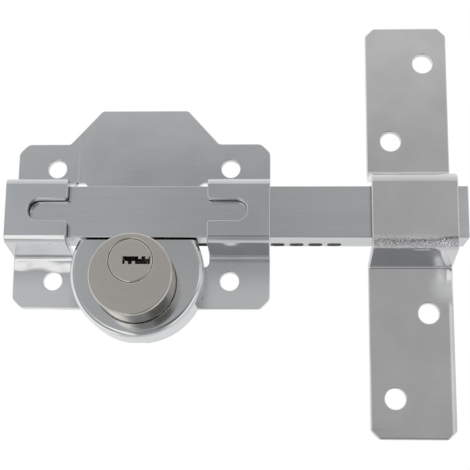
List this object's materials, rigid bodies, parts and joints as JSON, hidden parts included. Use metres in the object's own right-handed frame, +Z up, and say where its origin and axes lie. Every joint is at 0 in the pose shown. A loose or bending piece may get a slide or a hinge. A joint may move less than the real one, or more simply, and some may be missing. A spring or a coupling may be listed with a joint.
{
  "type": "security deadbolt",
  "caption": "Surface deadbolt: a flat steel bar, driven by a key cylinder and pinion, slides through a strapped lock plate into a strapped strike plate.",
  "frame": {"origin": "centre of the lock plate's four fixing holes, at the face of the door", "axes": "+X along the bar towards the strike plate, +Z up, +Y into the door; the viewer stands at -Y"},
  "size_m": [0.1878, 0.0344, 0.1776],
  "materials": {
    "plated_sheet": "bright plated pressed steel",
    "plated_bar": "satin plated drawn steel bar",
    "satin_nickel": "brass with a satin nickel plate",
    "brass": "turned brass",
    "zinc_screw": "zinc plated steel",
    "pinion_steel": "sintered steel",
    "spring_steel": "bright spring steel"
  },
  "bodies": {
    "root": {"lock_plate": "plated_sheet", "cylinder_housing": "plated_sheet", "cylinder_sleeve": "satin_nickel", "cylinder_core": "brass", "spring_cover": "brass", "cylinder_screws": "zinc_screw", "strike_plate": "plated_sheet", "driver_pin_1": "brass", "driver_pin_2": "brass", "driver_pin_3": "brass", "driver_pin_4": "brass", "driver_pin_5": "brass", "pin_spring_1": "spring_steel", "pin_spring_2": "spring_steel", "pin_spring_3": "spring_steel", "pin_spring_4": "spring_steel", "pin_spring_5": "spring_steel"},
    "bolt": {"bolt_bar": "plated_bar"},
    "plug_body": {"plug": "satin_nickel", "drive_pinion": "pinion_steel", "pinion_clip": "spring_steel", "key_pin_1": "brass", "key_pin_2": "brass", "key_pin_3": "brass", "key_pin_4": "brass", "key_pin_5": "brass"}
  },
  "joints": [
    {"name": "bolt_slide", "type": "slide", "parent": "root", "child": "bolt", "axis": [1, 0, 0], "range_m": [-0.078, 0]},
    {"name": "plug_turn", "type": "hinge", "parent": "root", "child": "plug_body", "pos_m": [0, 0, -0.0233], "axis": [0, 1, 0], "range_deg": [-360, 0]}
  ],
  "couplings": [
    {"joint": "plug_turn", "follows": "bolt_slide", "rad_per_m": 80.55}
  ]
}
